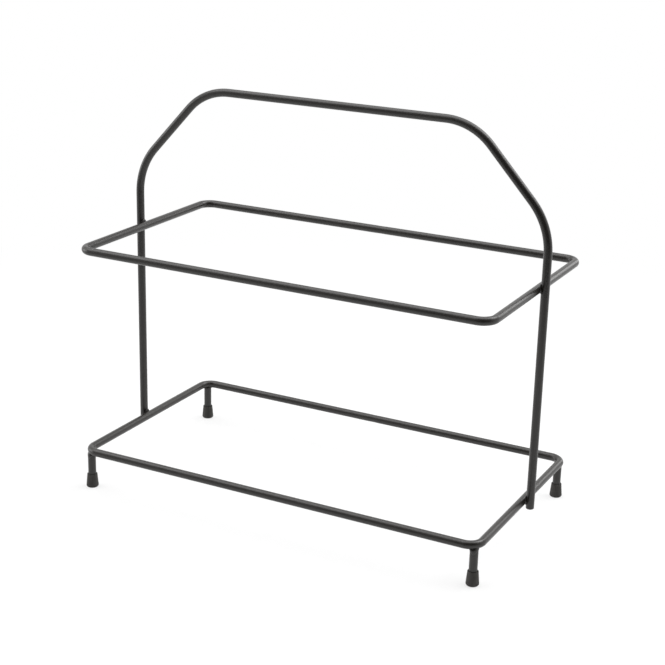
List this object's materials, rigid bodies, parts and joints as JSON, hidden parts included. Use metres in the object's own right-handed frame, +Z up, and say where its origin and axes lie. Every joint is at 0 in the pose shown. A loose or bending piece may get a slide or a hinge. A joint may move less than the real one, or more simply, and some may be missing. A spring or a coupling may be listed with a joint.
{
  "type": "two-tier wire stand",
  "caption": "Tiered wire basket stand: equal rectangular rod rings one above the other on a bent rod arch that forms the carrying handle, standing on short capped posts.",
  "frame": {"origin": "on the surface it stands on, under the middle of the stand", "axes": "+X along the long side of the rings, +Y to the rear across them, +Z up"},
  "size_m": [0.3478, 0.1822, 0.3096],
  "materials": {
    "powder_coated_rod": "satin black powder coat with a fine texture over welded mild steel rod",
    "cap_rubber": "matte black moulded rubber"
  },
  "bodies": {
    "root": {"base_ring": "powder_coated_rod", "upper_ring": "powder_coated_rod", "arch_handle": "powder_coated_rod", "arch_weld_base_left": "powder_coated_rod", "arch_weld_base_right": "powder_coated_rod", "arch_weld_upper_left": "powder_coated_rod", "arch_weld_upper_right": "powder_coated_rod", "foot_post_front_left": "powder_coated_rod", "foot_post_front_right": "powder_coated_rod", "foot_post_rear_left": "powder_coated_rod", "foot_post_rear_right": "powder_coated_rod", "foot_weld_front_left": "powder_coated_rod", "foot_weld_front_right": "powder_coated_rod", "foot_weld_rear_left": "powder_coated_rod", "foot_weld_rear_right": "powder_coated_rod", "foot_cap_front_left": "cap_rubber", "foot_cap_front_right": "cap_rubber", "foot_cap_rear_left": "cap_rubber", "foot_cap_rear_right": "cap_rubber"}
  },
  "joints": []
}
